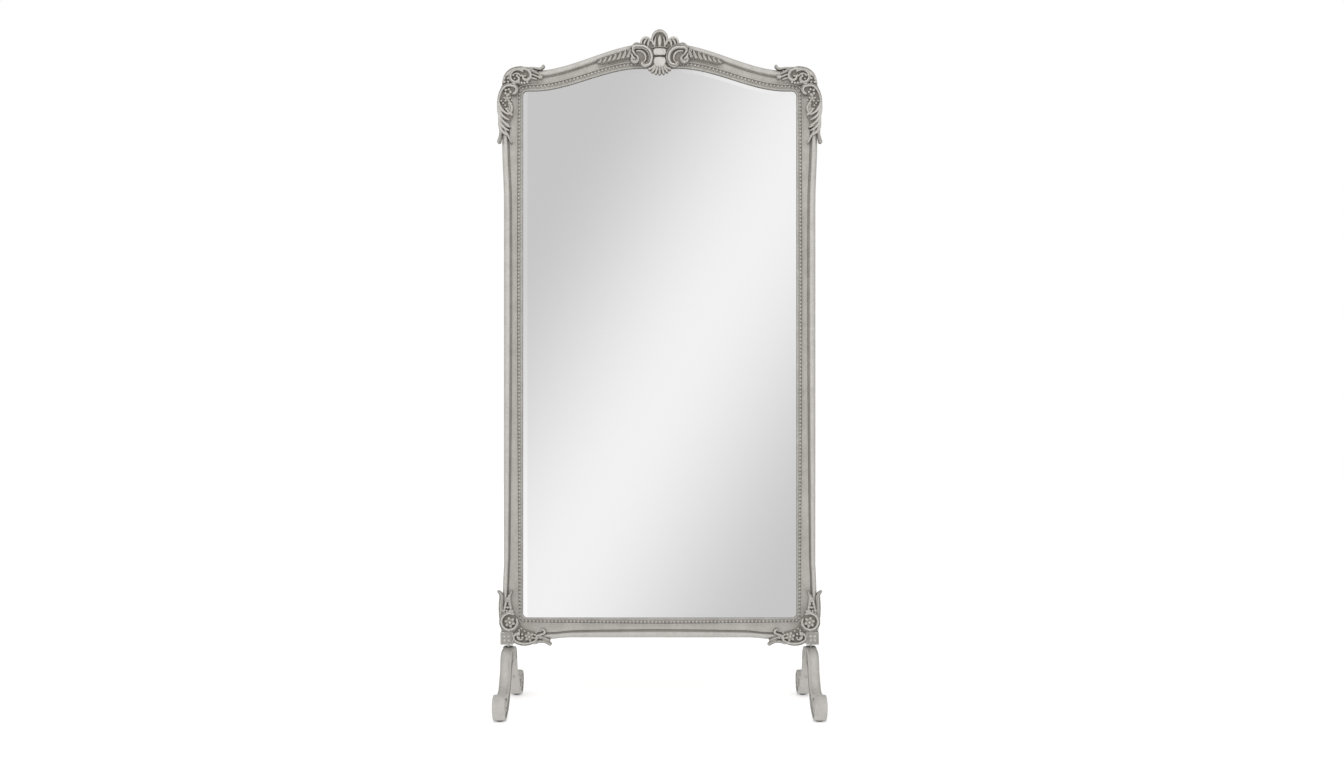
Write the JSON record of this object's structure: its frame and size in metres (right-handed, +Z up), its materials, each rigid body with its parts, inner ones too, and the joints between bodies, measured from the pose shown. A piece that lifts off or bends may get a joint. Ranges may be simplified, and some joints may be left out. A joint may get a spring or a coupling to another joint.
{
  "type": "cheval floor mirror",
  "caption": "Tall free-standing mirror in a carved, beaded frame with an arched top, tilting on two scroll-footed stands.",
  "frame": {"origin": "on the floor, midway between the left and right stands, in the plane of the tilt axis", "axes": "+Z up, the glass faces -Y, +X is to the right as the viewer faces the glass"},
  "size_m": [0.837, 0.4146, 1.75],
  "materials": {
    "painted_wood": "antique silver-grey paint, rubbed, darker in the hollows",
    "painted_resin": "the same paint over cast carvings",
    "mirror": "silvered plate glass with a bevelled edge",
    "board": "brown fibreboard",
    "steel": "zinc plated",
    "dowel": "bare beech",
    "glide": "dark felt-faced plastic"
  },
  "bodies": {
    "stand": {"saddle_left": "painted_wood", "pivot_bolt_left": "steel", "pivot_nut_left": "steel", "friction_washer_outer_left": "steel", "friction_washer_inner_left": "steel", "front_leg_left": "painted_wood", "front_glide_left": "glide", "front_dowel_left": "dowel", "front_leg_plug_left": "painted_wood", "rear_leg_left": "painted_wood", "rear_glide_left": "glide", "rear_dowel_left": "dowel", "rear_leg_plug_left": "painted_wood", "saddle_right": "painted_wood", "pivot_bolt_right": "steel", "pivot_nut_right": "steel", "friction_washer_outer_right": "steel", "friction_washer_inner_right": "steel", "front_leg_right": "painted_wood", "front_glide_right": "glide", "front_dowel_right": "dowel", "front_leg_plug_right": "painted_wood", "rear_leg_right": "painted_wood", "rear_glide_right": "glide", "rear_dowel_right": "dowel", "rear_leg_plug_right": "painted_wood"},
    "frame": {"left_stile": "painted_wood", "right_stile": "painted_wood", "top_rail": "painted_wood", "bottom_rail": "painted_wood", "bead_slip_left": "painted_resin", "bead_slip_right": "painted_resin", "bead_slip_top": "painted_resin", "bead_slip_bottom": "painted_resin", "mirror_glass": "mirror", "backing_board": "board", "board_screw_left_low": "steel", "board_screw_left_high": "steel", "board_screw_right_low": "steel", "board_screw_right_high": "steel", "board_screw_bottom": "steel", "board_screw_top": "steel", "crest_shell": "painted_resin", "crest_cartouche": "painted_resin", "plinth_block_left": "painted_wood", "tongue_bracket_left": "steel", "tongue_screw_inner_left": "steel", "tongue_screw_outer_left": "steel", "top_corner_carving_left": "painted_resin", "bottom_corner_carving_left": "painted_resin", "crest_spray_left": "painted_resin", "plinth_block_right": "painted_wood", "tongue_bracket_right": "steel", "tongue_screw_inner_right": "steel", "tongue_screw_outer_right": "steel", "top_corner_carving_right": "painted_resin", "bottom_corner_carving_right": "painted_resin", "crest_spray_right": "painted_resin"}
  },
  "joints": [
    {"name": "frame_tilt", "type": "hinge", "parent": "stand", "child": "frame", "pos_m": [0, 0, 0.138], "axis": [1, 0, 0], "range_deg": [-8, 8]}
  ]
}
